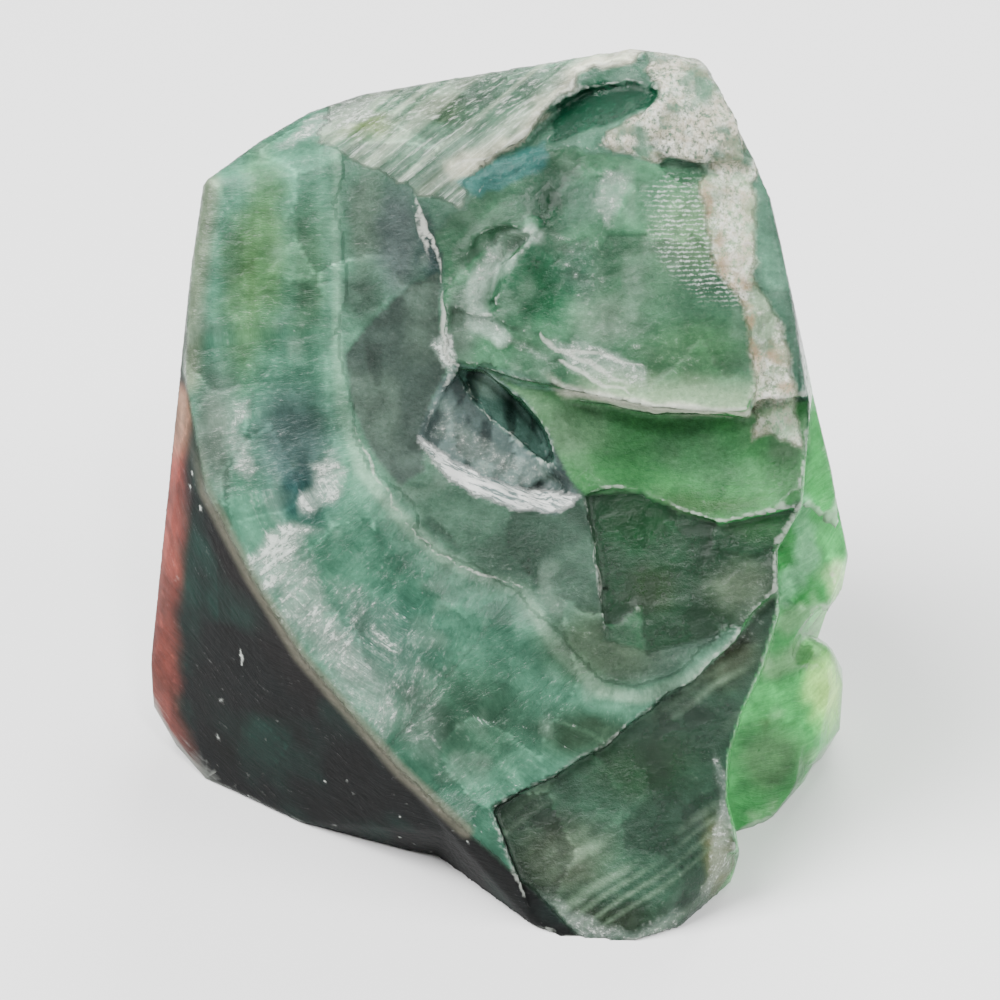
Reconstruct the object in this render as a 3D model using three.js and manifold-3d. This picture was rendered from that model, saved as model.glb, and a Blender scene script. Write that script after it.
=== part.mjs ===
// Raw green fluorite, about 150 mm long: one loose lump of banded vein fluorite.
// Its flanks are ground and softly polished, and its face is broken in steps, shells and pockets.
// It stands on a ground foot with its broken face leaning back.
// Millimetres, +Z up, the face towards -Y, the origin under the middle of the lump.
import * as THREE from "three";
import { ConvexGeometry } from "three/addons/geometries/ConvexGeometry.js";
import { mergeVertices } from "three/addons/utils/BufferGeometryUtils.js";
import Module from "manifold-3d";

const wasm = await Module();
wasm.setup();

// Driving dimensions.
const FACE_LENGTH = 150; // from the tip of the foot to the crown, along the leaning face
const LEAN = THREE.MathUtils.degToRad(30); // the face leans back from upright by this
const SIGHT_DISTANCE = 700; // from which the lump is drawn, square to its face
const EDGE_ROUND = 3; // rounding of a polished edge
const BREAK_TAPER = 0.18; // a broken step runs in by this much for each mm that it drops
const ORE_GREEN = 0x5f8f74;

// The drawing of the face is 1000 units square, and the lump is 895 units long in it.
const DRAWING_MIDDLE = 500;
const DRAWN_LENGTH = 895;
const DRAWN_FOOT = 947;
const UNIT = FACE_LENGTH / DRAWN_LENGTH;
const FOOT_DROP = (DRAWN_FOOT - DRAWING_MIDDLE) * UNIT;
const FOOT_HEIGHT = FOOT_DROP * Math.cos(LEAN);

// A point of the drawing at a depth in mm, nearer the eye if positive: x right, y up the face, z out of it.
function seen(across, down, depth) {
  const spread = UNIT * (1 - depth / SIGHT_DISTANCE);
  return new THREE.Vector3((across - DRAWING_MIDDLE) * spread, (DRAWING_MIDDLE - down) * spread, depth);
}

// The point of the ground under the lump that shows at a place of the drawing.
function grounded(across, down) {
  const rise = (DRAWING_MIDDLE - down) * UNIT * Math.cos(LEAN);
  const depth = -(FOOT_HEIGHT + rise) / (Math.sin(LEAN) - rise / SIGHT_DISTANCE);
  return seen(across, down, depth);
}

// The broken face is nearly flat: its depth at a place of the drawing.
function faceDepth(across, down) {
  const right = (across - DRAWING_MIDDLE) * UNIT;
  const up = (DRAWN_FOOT - down) * UNIT;
  return -2 + 0.07 * right - 0.03 * up;
}

function onFace(across, down, lift = 0) {
  return seen(across, down, faceDepth(across, down) + lift);
}

// A closed mesh as a solid, turned to face out if it was drawn the other way round.
function solidOf(geometry) {
  const bare = new THREE.BufferGeometry();
  bare.setAttribute("position", geometry.getAttribute("position"));
  if (geometry.index) bare.setIndex(geometry.index);
  const merged = mergeVertices(bare, 1e-4);
  const corners = merged.index.array;
  const kept = [];
  for (let i = 0; i < corners.length; i += 3) {
    const [a, b, c] = corners.slice(i, i + 3);
    if (a !== b && b !== c && c !== a) kept.push(a, b, c);
  }
  const numbers = new Float32Array(merged.attributes.position.array);
  const made = (triangles) =>
    new wasm.Manifold(new wasm.Mesh({ numProp: 3, vertProperties: numbers, triVerts: new Uint32Array(triangles) }));
  const solid = made(kept);
  return solid.volume() < 0 ? made(kept.reverse()) : solid;
}

function geometryOf(solid) {
  const mesh = solid.getMesh();
  const geometry = new THREE.BufferGeometry();
  geometry.setAttribute("position", new THREE.BufferAttribute(new Float32Array(mesh.vertProperties), 3));
  geometry.setIndex(new THREE.BufferAttribute(new Uint32Array(mesh.triVerts), 1));
  return geometry;
}

// A convex block with a rounded knob at each corner, so that every edge between them is rounded too.
// A corner is [point] or [point, its own rounding].
function block(corners, round = EDGE_ROUND) {
  const middle = new THREE.Vector3();
  for (const [point] of corners) middle.addScaledVector(point, 1 / corners.length);
  const points = [];
  for (const [point, ownRound] of corners) {
    const radius = ownRound ?? round;
    const inward = middle.clone().sub(point).normalize();
    const knob = new THREE.IcosahedronGeometry(radius, radius > 2 ? 2 : 1).getAttribute("position");
    for (let i = 0; i < knob.count; i++) {
      points.push(new THREE.Vector3().fromBufferAttribute(knob, i).add(point).addScaledVector(inward, radius));
    }
  }
  return solidOf(new ConvexGeometry(points));
}

// A low rounded swelling on the face: rings of its outline, drawn in and raised towards its middle.
// Each place of the outline is [across, down, how far its edge stands out].
function swelling(outline, rise, { foot = 12 } = {}) {
  const [middleAcross, middleDown] = [0, 1].map((i) => outline.reduce((sum, p) => sum + p[i], 0) / outline.length);
  const points = [];
  for (const [across, down, lift] of outline) {
    points.push(onFace(across, down, -foot), onFace(across, down, lift));
    for (const [kept, raised] of [
      [0.93, 0.35],
      [0.8, 0.65],
      [0.55, 0.9],
      [0.25, 1],
    ]) {
      points.push(
        onFace(
          middleAcross + (across - middleAcross) * kept,
          middleDown + (down - middleDown) * kept,
          lift + (rise - lift) * raised,
        ),
      );
    }
  }
  return solidOf(new ConvexGeometry(points));
}

// A cutter over an outline of the drawing, from well above the face down to a floor.
// floor(across, down) is the floor's depth, and taper is how far its walls run in for each mm of depth.
function cutter(outline, floor, { taper = BREAK_TAPER, reach = 14 } = {}) {
  const loop = outline.map(([across, down]) => new THREE.Vector2(across, down));
  const middle = loop.reduce((sum, p) => sum.addScaledVector(p, 1 / loop.length), new THREE.Vector2());
  const geometry = new THREE.ExtrudeGeometry(new THREE.Shape(loop), { depth: 1, bevelEnabled: false, steps: 1 });
  const position = geometry.getAttribute("position");
  for (let i = 0; i < position.count; i++) {
    const place = new THREE.Vector2(position.getX(i), position.getY(i));
    const surface = faceDepth(place.x, place.y);
    const depth = position.getZ(i) > 0.5 ? surface + reach : floor(place.x, place.y);
    const outward = place.clone().sub(middle).normalize();
    place.addScaledVector(outward, ((depth - surface) * taper) / UNIT);
    const at = seen(place.x, place.y, depth);
    position.setXYZ(i, at.x, at.y, at.z);
  }
  return solidOf(geometry);
}

// A flat floor through three places of the drawing, each [across, down, depth].
function slope(a, b, c) {
  const plane = new THREE.Plane().setFromCoplanarPoints(...[a, b, c].map((p) => new THREE.Vector3(...p)));
  return (across, down) => -(plane.normal.x * across + plane.normal.y * down + plane.constant) / plane.normal.z;
}

// A shell-shaped hollow, as a blow leaves it: a shallow round bowl let into a surface.
// It faces the eye unless it is given its own direction out of the lump.
function bowl(at, halfWide, dip, { squash = 1, turn = 0, out = new THREE.Vector3(0, 0, 1), above = 4 } = {}) {
  const radius = (halfWide ** 2 + dip ** 2) / (2 * dip);
  const brim = Math.sqrt(Math.max(radius ** 2 - (radius - dip - above) ** 2, 0));
  const profile = [];
  for (let i = 0; i <= 12; i++) {
    const r = (brim * i) / 12;
    profile.push(new THREE.Vector2(r, radius - dip - Math.sqrt(radius ** 2 - r ** 2)));
  }
  profile.push(new THREE.Vector2(0, above));
  const geometry = new THREE.LatheGeometry(profile, 36);
  geometry.rotateX(Math.PI / 2);
  geometry.scale(1, squash, 1);
  geometry.rotateZ(turn);
  geometry.applyQuaternion(new THREE.Quaternion().setFromUnitVectors(new THREE.Vector3(0, 0, 1), out.normalize()));
  geometry.translate(at.x, at.y, at.z);
  return solidOf(geometry);
}

// The ground block without its toe: the edge of the face, the flanks, the back and most of the foot.
function groundBlock() {
  const face = [
    [seen(207, 180, -9), 2.5],
    [seen(195, 255, -8), 2.5],
    [seen(187, 330, -8), 2.5],
    [seen(187, 400, -8), 2],
    [seen(198, 470, -8), 1.5],
    [seen(222, 535, -8), 1.5],
    [seen(256, 597, -7), 1.5],
    [seen(300, 660, -7), 1.5],
    [seen(350, 721, -6), 1.5],
    [seen(400, 775, -6), 1.5],
    [seen(466, 833, -5), 1.5],
    [seen(735, 850, -5), 2],
    [onFace(800, 520, -1), 1],
    [seen(806, 390, 0), 1],
    [seen(792, 300, -2), 2],
    [seen(768, 195, -4), 2],
    [seen(747, 148, -5), 2],
    [seen(704, 66, -10), 2],
    [onFace(560, 128, -1), 4],
    [onFace(420, 165, -2), 4],
    [onFace(300, 155, -3), 4],
  ];
  const crown = [
    [seen(262, 140, -16), 3],
    [seen(310, 112, -21), 3],
    [seen(362, 94, -25), 3],
    [seen(440, 84, -27), 3],
    [seen(640, 50, -17), 2.5],
    [seen(700, 60, -22), 3],
  ];
  const leftFlank = [
    [seen(170, 480, -26), 3],
    [seen(165, 590, -36), 4],
    [seen(156, 680, -42), 5],
    [seen(159, 712, -48), 5],
    [seen(182, 460, -62), 8],
    [seen(212, 640, -74), 8],
  ];
  const foot = [
    [grounded(178, 745), 4],
    [grounded(205, 776), 3],
    [grounded(300, 822), 2],
    [grounded(405, 850), 2],
    [grounded(450, 858), 2],
    [grounded(740, 852), 2],
    [grounded(765, 826), 3],
    [grounded(806, 778), 4],
    [grounded(560, 648), 4],
    [grounded(400, 652), 4],
    [grounded(262, 680), 5],
    [grounded(745, 672), 5],
  ];
  const rightFlank = [
    [seen(846, 566, -42), 7],
    [seen(838, 590, -42), 5],
    [seen(818, 440, -34), 5],
    [seen(800, 430, -68), 8],
  ];
  const back = [
    [seen(290, 230, -60), 8],
    [seen(360, 200, -64), 7],
    [seen(600, 175, -60), 7],
    [seen(720, 240, -56), 7],
    [seen(340, 430, -84), 8],
    [seen(620, 400, -86), 8],
    [seen(725, 430, -78), 8],
  ];
  return block([...face, ...crown, ...leftFlank, ...foot, ...rightFlank, ...back]);
}

// The toe, which runs out below the face to the front tip of the foot.
function toe() {
  return block([
    [seen(420, 790, -6), 2],
    [seen(470, 833, -5), 2],
    [seen(540, 893, -4), 2.5],
    [seen(600, 926, -3), 5],
    [seen(684, 892, -4), 5],
    [seen(724, 848, -5), 4],
    [seen(740, 780, -12), 4],
    [seen(640, 660, -9), 4],
    [grounded(436, 850), 2],
    [grounded(500, 901), 2],
    [grounded(533, 926), 3],
    [grounded(600, 951), 3],
    [grounded(682, 926), 3],
    [grounded(732, 878), 3],
    [grounded(742, 820), 4],
    [grounded(560, 760), 4],
  ]);
}

// The pale rounded hump low on the right flank, which swells out of it and dies away behind.
function hump() {
  return block([
    [seen(834, 676, -42), 4],
    [seen(839, 704, -48), 7],
    [seen(830, 742, -48), 5],
    [seen(816, 650, -36), 4],
    [seen(790, 690, -28), 6],
    [seen(792, 760, -36), 5],
    [seen(812, 764, -50), 3],
    [seen(800, 650, -62), 8],
    [seen(790, 700, -66), 8],
    [seen(740, 660, -72), 8],
    [seen(740, 700, -60), 8],
  ]);
}

// The boss of clear green that stands proud in the right half of the face, with its lip along the bottom.
function boss() {
  return swelling(
    [
      [450, 356, 1],
      [478, 366, 1.2],
      [520, 380, 2.2],
      [562, 388, 3.6],
      [610, 396, 4.8],
      [655, 406, 5.4],
      [700, 407, 5],
      [746, 411, 4.2],
      [758, 384, 3.4],
      [770, 320, 1.6],
      [764, 240, -0.6],
      [740, 165, -2],
      [650, 140, -2.4],
      [560, 140, -2.4],
      [478, 180, -2],
      [430, 230, -0.4],
      [434, 300, 0.6],
    ],
    3.9,
  );
}

// The silky slab across the top left, ending in a ragged edge.
function silkySlab() {
  return block(
    [
      [onFace(322, 150, -1.4)],
      [onFace(372, 168, 0.2)],
      [onFace(424, 194, 0.8)],
      [onFace(462, 200, 1)],
      [onFace(500, 158, 1.2)],
      [onFace(530, 134, 1)],
      [onFace(552, 104, -2)],
      [onFace(600, 76, -8)],
      [seen(640, 56, -15)],
      [seen(440, 92, -24)],
      [seen(340, 110, -21)],
      [seen(470, 150, -24)],
    ],
    1,
  );
}

// The block of cream crust at the top right corner.
function crustBlock() {
  return block(
    [
      [onFace(612, 136, 0)],
      [onFace(652, 158, 1.4)],
      [onFace(690, 162, 2)],
      [onFace(720, 150, 2)],
      [onFace(744, 160, 0.6)],
      [seen(738, 120, -5)],
      [seen(704, 68, -9)],
      [seen(660, 74, -8)],
      [seen(640, 110, -3)],
      [seen(690, 110, -16)],
    ],
    0.9,
  );
}

// The shell-shaped hollows that were there before the boss and the slabs, as they run on under them.
function olderBreaks() {
  return [
    // The wide bowl of dark grey, whose edge shows as a half moon left of the boss.
    bowl(onFace(500, 432, 0), 160 * UNIT, 2.9, { squash: 1.02, turn: 0.3 }),
    // The shallow wave below it.
    bowl(onFace(624, 590, 0), 110 * UNIT, 1.8, { squash: 0.9 }),
  ];
}

// The breaks of the face, each cut from the block.
function faceBreaks() {
  return [
    // The smooth green trough under the boss.
    cutter(
      [
        [484, 368],
        [522, 388],
        [560, 399],
        [610, 404],
        [655, 413],
        [700, 413],
        [748, 417],
        [757, 398],
        [830, 396],
        [830, 498],
        [795, 505],
        [757, 514],
        [720, 524],
        [680, 512],
        [640, 492],
        [585, 494],
        [556, 470],
        [548, 436],
        [522, 400],
      ],
      () => -40,
      { taper: 0.03 },
    ).intersect(bowl(onFace(672, 396, 0), 150 * UNIT, 9, { squash: 0.86, above: 7 })),
    // The shelf a step down from the boss, at its lower left.
    cutter(
      [
        [452, 306],
        [474, 318],
        [498, 322],
        [512, 334],
        [536, 338],
        [546, 352],
        [556, 356],
        [562, 384],
        [520, 392],
        [470, 380],
        [444, 364],
      ],
      slope([452, 306, -5.2], [556, 356, -0.2], [470, 370, -5.6]),
      { taper: 0.3, reach: 9 },
    ),
    // The small pocket with a worn brim above the shelf.
    cutter(
      [
        [472, 262],
        [480, 242],
        [502, 232],
        [528, 240],
        [516, 254],
        [500, 268],
        [494, 292],
        [506, 306],
        [484, 304],
        [474, 284],
      ],
      slope([480, 242, -5], [500, 268, -6], [490, 300, -4]),
      { taper: 0.5, reach: 9 },
    ),
    // The hollow over the crescent, whose pale lower wall shows.
    cutter(
      [
        [418, 436],
        [428, 458],
        [452, 478],
        [482, 494],
        [520, 509],
        [556, 514],
        [580, 498],
        [564, 470],
        [548, 436],
        [522, 400],
        [484, 370],
        [456, 364],
        [440, 384],
        [428, 408],
      ],
      slope([430, 430, -8.6], [560, 496, -11.2], [490, 380, -9.5]),
      { taper: 0.62, reach: 4 },
    ),
    // The dark pocket under the boss's left edge.
    cutter(
      [
        [453, 366],
        [482, 368],
        [505, 384],
        [524, 398],
        [550, 436],
        [558, 470],
        [536, 458],
        [516, 440],
        [490, 420],
        [470, 398],
      ],
      slope([455, 366, -11], [556, 470, -14], [520, 398, -16]),
      { taper: 0.12 },
    ),
    // The dark hollow right of the flap's crack.
    cutter(
      [
        [584, 492],
        [612, 486],
        [640, 488],
        [682, 510],
        [722, 522],
        [760, 514],
        [800, 504],
        [792, 534],
        [776, 552],
        [776, 596],
        [752, 622],
        [700, 640],
        [650, 652],
        [616, 650],
        [604, 640],
        [600, 580],
        [594, 540],
      ],
      slope([592, 496, -8], [606, 640, -4.4], [790, 560, -2.4]),
      { taper: 0.1 },
    ),
    // The lower right of the face, a step down from the banded rim.
    cutter(
      [
        [492, 810],
        [520, 792],
        [552, 778],
        [578, 758],
        [604, 746],
        [628, 722],
        [652, 708],
        [668, 692],
        [694, 682],
        [712, 660],
        [734, 642],
        [752, 612],
        [776, 590],
        [860, 600],
        [860, 1000],
        [560, 1000],
        [520, 880],
      ],
      slope([500, 805, -6.2], [740, 640, -4.2], [610, 950, -1.4]),
      { taper: 0.1 },
    ),
    // The great scoop at the right, which leaves the flank of bright green behind the face.
    cutter(
      [
        [814, 372],
        [808, 440],
        [801, 505],
        [776, 548],
        [778, 610],
        [762, 668],
        [742, 712],
        [729, 756],
        [727, 800],
        [738, 856],
        [764, 920],
        [960, 920],
        [960, 340],
      ],
      slope([805, 480, -26], [735, 760, -27], [850, 640, -35]),
      { taper: 0.03 },
    ),
    // The green window sunk between the silky slab and the crust.
    cutter(
      [
        [462, 176],
        [496, 154],
        [526, 137],
        [546, 108],
        [590, 82],
        [636, 76],
        [662, 92],
        [640, 118],
        [606, 138],
        [556, 146],
        [552, 170],
        [504, 192],
        [476, 196],
      ],
      slope([470, 185, -3.6], [545, 160, -3.2], [600, 90, -10.5]),
      { taper: 0.3, reach: 10 },
    ),
  ];
}

// The hollows of the flanks and the back.
function flankBreaks() {
  return [
    // The valley between the two green humps of the right flank.
    bowl(seen(830, 638, -44), 20, 3.2, {
      squash: 0.3,
      turn: 0.25,
      out: new THREE.Vector3(1, 0.1, 0.5),
      above: 4,
    }),
    // The hollow of the right flank above them.
    bowl(seen(806, 548, -30), 17, 2.4, { squash: 0.7, turn: 0.4, out: new THREE.Vector3(0.6, 0.1, 0.8), above: 3 }),
    // Blows on the back.
    bowl(seen(400, 300, -78), 38, 3.6, { squash: 0.8, turn: 0.5, out: new THREE.Vector3(-0.2, 0.35, -0.9), above: 4 }),
    bowl(seen(710, 320, -72), 30, 3.4, { squash: 0.9, out: new THREE.Vector3(0.4, 0.3, -0.85), above: 4 }),
    bowl(seen(560, 580, -88), 42, 4, { squash: 0.7, turn: 1, out: new THREE.Vector3(0.1, -0.35, -0.9), above: 5 }),
    bowl(seen(205, 470, -56), 28, 2.6, { squash: 0.8, out: new THREE.Vector3(-0.9, 0.2, -0.4), above: 4 }),
    bowl(seen(812, 350, -50), 28, 2.6, { squash: 0.7, out: new THREE.Vector3(0.95, 0.2, -0.2), above: 4 }),
  ];
}

// The whole lump, turned to stand on its foot.
function lump() {
  let solid = groundBlock().add(toe());
  for (const cut of [...olderBreaks(), ...flankBreaks()]) solid = solid.subtract(cut);
  solid = solid.add(hump());
  for (const part of [boss(), silkySlab(), crustBlock()]) solid = solid.add(part);
  for (const cut of faceBreaks()) solid = solid.subtract(cut);
  // A chip that the cuts set free falls away.
  solid = solid.decompose().sort((a, b) => b.volume() - a.volume())[0];
  const standing = geometryOf(solid);
  standing.rotateX(Math.PI / 2 - LEAN);
  standing.translate(0, 0, FOOT_HEIGHT);
  const earth = new THREE.BoxGeometry(4 * FACE_LENGTH, 4 * FACE_LENGTH, FACE_LENGTH);
  earth.translate(0, 0, -FACE_LENGTH / 2);
  const cut = geometryOf(solidOf(standing).subtract(solidOf(earth)));
  cut.computeBoundingBox();
  const middle = cut.boundingBox.getCenter(new THREE.Vector3());
  cut.translate(-middle.x, -middle.y, -cut.boundingBox.min.z);
  return cut;
}

const stone = new THREE.Mesh(
  lump(),
  new THREE.MeshStandardMaterial({ color: ORE_GREEN, roughness: 0.25, metalness: 0 }),
);
stone.name = "fluorite";

const group = new THREE.Group();
group.add(stone);
export default group;
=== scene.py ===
# The looks of a lump of raw green fluorite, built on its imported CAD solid.
import math

import bpy
import numpy as np
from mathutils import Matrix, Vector


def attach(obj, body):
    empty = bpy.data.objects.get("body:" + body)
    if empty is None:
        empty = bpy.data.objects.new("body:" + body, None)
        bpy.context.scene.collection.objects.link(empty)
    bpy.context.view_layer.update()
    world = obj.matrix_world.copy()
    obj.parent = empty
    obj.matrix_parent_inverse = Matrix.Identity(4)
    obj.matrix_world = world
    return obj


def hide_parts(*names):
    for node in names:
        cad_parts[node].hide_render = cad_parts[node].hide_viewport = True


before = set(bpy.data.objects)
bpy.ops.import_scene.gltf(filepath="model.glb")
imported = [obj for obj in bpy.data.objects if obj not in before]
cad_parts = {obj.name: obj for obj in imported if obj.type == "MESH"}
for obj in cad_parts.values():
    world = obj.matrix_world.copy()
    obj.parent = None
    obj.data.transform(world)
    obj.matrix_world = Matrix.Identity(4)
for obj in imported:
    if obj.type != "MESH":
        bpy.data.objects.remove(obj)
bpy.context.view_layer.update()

# The lump
# One piece of vein fluorite, clear to cloudy green, with growth bands round its boss, frosted breaks,
# a silky slab and cream crust at the top, and ground, softly polished flanks.
# The face is drawn in units, 895 from toe to crown, and FACE_LENGTH gives them their size in metres.
FACE_LENGTH = 0.150
DRAWN_LENGTH = 895
UNIT = FACE_LENGTH / DRAWN_LENGTH
LEAN = math.radians(30)
SIGHT = 0.700
MIDDLE = Vector((0.000110, -0.024423, 0.064879))
FINE = 0.0006
MOST_TRIANGLES = 192000
TRACE = 0.00003

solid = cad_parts["fluorite"]
rough_cut = solid.data.copy()
rough_cut.transform(solid.matrix_world)
stone = bpy.data.objects.new("fluorite_lump", rough_cut)
bpy.context.scene.collection.objects.link(stone)

# An even fine skin over the solid, which the breaks and the grain are then pressed into.
even = stone.modifiers.new("even", "REMESH")
even.mode = "VOXEL"
even.voxel_size = FINE
even.use_smooth_shade = True
skin = bpy.data.meshes.new_from_object(stone.evaluated_get(bpy.context.evaluated_depsgraph_get()))
stone.modifiers.clear()
stone.data = skin

# Most of the thinning falls on the flanks and the back, so the face keeps most of the points.
spots = np.empty(len(skin.vertices) * 3)
skin.vertices.foreach_get("co", spots)
spots = spots.reshape(-1, 3)
# A trace of roughness lessens the large triangles that thinning leaves on flat parts. Some stay.
rough = np.random.default_rng(1).normal(0, TRACE, spots.shape)
skin.vertices.foreach_set("co", (spots + rough).ravel())
leaning = (spots - np.array(MIDDLE)) @ np.array([0, -math.cos(LEAN), math.sin(LEAN)])
spare = stone.vertex_groups.new(name="spare")
for weight, low, high in ((1.0, -1.0, -0.040), (0.6, -0.040, -0.022)):
    chosen = np.nonzero((leaning > low) & (leaning <= high))[0]
    spare.add(chosen.tolist(), weight, "REPLACE")
triangles = sum(len(p.vertices) - 2 for p in skin.polygons)
thin = stone.modifiers.new("thin", "DECIMATE")
thin.ratio = min(1.0, MOST_TRIANGLES / triangles)
thin.vertex_group = "spare"
thin.vertex_group_factor = 0.6
skin = bpy.data.meshes.new_from_object(stone.evaluated_get(bpy.context.evaluated_depsgraph_get()))
stone.modifiers.clear()
stone.vertex_groups.clear()
stone.data = skin
skin.shade_smooth()

count = len(skin.vertices)
spots = np.empty(count * 3)
skin.vertices.foreach_get("co", spots)
spots = spots.reshape(-1, 3)
normals = np.empty(count * 3)
skin.vertex_normals.foreach_get("vector", normals)
normals = normals.reshape(-1, 3)

# Each point's place in the drawing of the face: across and down in its 1000 units, near in metres.
arm = spots - np.array(MIDDLE)
near = arm @ np.array([0, -math.cos(LEAN), math.sin(LEAN)])
rise = arm @ np.array([0, math.sin(LEAN), math.cos(LEAN)])
across = 500 + arm[:, 0] / (UNIT * (1 - near / SIGHT))
down = 500 - rise / (UNIT * (1 - near / SIGHT))
facing = normals @ np.array([0, -math.cos(LEAN), math.sin(LEAN)])
millimetres = spots * 1000


def cloud(size, seed, stretch=(1, 1, 1)):
    """Smooth noise from -1 to 1 at every point, in lumps of a size in mm."""
    at = millimetres / (np.array(stretch) * size) + seed * 7.31
    cell = np.floor(at).astype(np.int64)
    part = at - cell
    part = part * part * (3 - 2 * part)
    total = np.zeros(count)
    for corner in range(8):
        step = np.array([corner & 1, corner >> 1 & 1, corner >> 2 & 1])
        key = (cell + step) @ np.array([73856093, 19349663, 83492791]) + seed * 40503
        key = (key ^ (key >> 13)) * 1274126177 & 0x7FFFFFFFFFFF
        value = ((key ^ (key >> 16)) & 65535) / 32767.5 - 1
        total += value * np.prod(np.where(step, part, 1 - part), axis=1)
    return total


def shards(size, seed, stretch=(1, 1, 1)):
    """Splits the lump in angular shards: a number from 0 to 1 for each, and how near its wall is."""
    at = millimetres / (np.array(stretch) * size) + seed * 3.17
    at = at + 0.22 * np.column_stack([cloud(size * 0.8, seed + k) for k in range(3)])
    cell = np.floor(at).astype(np.int64)
    nearest = np.full(count, 9.0)
    second = np.full(count, 9.0)
    chosen = np.zeros(count)
    for corner in range(27):
        step = np.array([corner % 3 - 1, corner // 3 % 3 - 1, corner // 9 - 1])
        key = (cell + step) @ np.array([73856093, 19349663, 83492791]) + seed * 7919
        key = (key ^ (key >> 13)) * 1274126177 & 0x7FFFFFFFFFFF
        jitter = np.column_stack([(key >> k & 1023) / 1023 for k in (3, 14, 25)])
        gap = np.linalg.norm(cell + step + jitter - at, axis=1)
        closer = gap < nearest
        second = np.where(closer, nearest, np.minimum(second, gap))
        chosen = np.where(closer, (key >> 8 & 255) / 255, chosen)
        nearest = np.where(closer, gap, nearest)
    return chosen, second - nearest


def soft(value, low, high):
    """0 below low and 1 above high, with a smooth turn between."""
    t = np.clip((value - low) / (high - low), 0, 1)
    return t * t * (3 - 2 * t)


ragged_across = across + 5 * cloud(2.2, 1) + 5 * cloud(6, 2)
ragged_down = down + 5 * cloud(2.2, 3) + 5 * cloud(6, 4)


def apart(places, ragged=True):
    """How far each point lies from a line drawn through places, in drawing units."""
    a = ragged_across if ragged else across
    d = ragged_down if ragged else down
    best = np.full(count, 1e6)
    for (a0, d0), (a1, d1) in zip(places, places[1:]):
        length = max((a1 - a0) ** 2 + (d1 - d0) ** 2, 1e-9)
        t = np.clip(((a - a0) * (a1 - a0) + (d - d0) * (d1 - d0)) / length, 0, 1)
        best = np.minimum(best, np.hypot(a - a0 - t * (a1 - a0), d - d0 - t * (d1 - d0)))
    return best


def within(places, ragged=True):
    """How far each point lies inside an outline, in drawing units, and negative outside it."""
    a = ragged_across if ragged else across
    d = ragged_down if ragged else down
    odd = np.zeros(count, bool)
    for (a0, d0), (a1, d1) in zip(places, places[1:] + places[:1]):
        if d0 != d1:
            odd ^= ((d0 > d) != (d1 > d)) & (a < (a1 - a0) * (d - d0) / (d1 - d0) + a0)
    gap = apart(places + places[:1], ragged)
    return np.where(odd, gap, -gap)


def spot(at_across, at_down, half_across, half_down=None):
    """1 in the middle of a soft round spot of the drawing, and 0 outside it."""
    half_down = half_down or half_across
    sideways = (ragged_across - at_across) / half_across
    downward = (ragged_down - at_down) / half_down
    return 1 - soft(np.hypot(sideways, downward), 0.25, 1)


# The parts of the lump: its broken face, the flank of bright green, the flank in shade and the hidden rest.
rim = [
    (196, 170), (184, 370), (205, 490), (250, 575), (300, 656), (400, 771), (466, 831), (540, 896),
    (600, 960), (700, 920), (740, 860), (727, 800), (729, 756), (742, 712), (762, 668), (778, 610),
    (776, 548), (801, 505), (808, 440), (812, 372), (800, 280), (770, 180), (720, 40), (560, 30), (300, 90),
]
on_face = soft(within(rim, ragged=False), -3, 3) * soft(near, -0.034, -0.028) * soft(facing, 0.1, 0.3)
green_flank = soft(across, 700, 730) * (1 - on_face) * soft(down, 330, 420) * soft(near, -0.075, -0.055)
# The flank under the banded rim faces down, away from the light: its near-black colour below is painted
# shade.
shaded_flank = (1 - on_face) * soft(700 - across, 0, 60) * soft(down - 0.5 * across, 120, 320)
shaded_flank = shaded_flank * soft(near + 0.008 * cloud(12, 18), -0.085, -0.045)

tint = np.empty((count, 3))


def linear(code):
    """A screen colour as linear red, green and blue."""
    parts = np.array([int(code[i : i + 2], 16) / 255 for i in (1, 3, 5)])
    return np.where(parts <= 0.04045, parts / 12.92, ((parts + 0.055) / 1.055) ** 2.4)


def paint(mask, code, amount=1.0):
    """Lays a colour over the lump where mask is 1."""
    cover = np.clip(mask * amount, 0, 1)[:, None]
    tint[:] = tint * (1 - cover) + linear(code) * cover


# The hidden rest: shells of growth round the boss, in the greens and greys of the face.
boss_middle = np.array([0.022, 0.010, 0.088])
shell = np.linalg.norm(spots - boss_middle, axis=1) * 1000 + 2.5 * cloud(16, 15) + 0.8 * cloud(5, 16)
shell_grey = np.random.default_rng(9).random(60)
WIDE_SHELL = 4.5
NARROW_SHELL = 2.6
tint[:] = linear("#476e5a")
paint(np.interp(shell, np.arange(60) * WIDE_SHELL, shell_grey), "#2c4f45", 0.9)
paint(soft(np.interp(shell, np.arange(60) * NARROW_SHELL, shell_grey[::-1]), 0.7, 0.95), "#8aa592", 0.6)
paint(soft(cloud(30, 13), 0.0, 0.5), "#43804f", 0.6)
paint(soft(cloud(22, 12), 0.1, 0.6), "#4b5654", 0.6)
paint(soft(cloud(9, 14, (1, 1, 0.5)) + 0.5 * cloud(3, 19), 0.35, 0.9), "#a3b5a6", 0.5)

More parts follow.
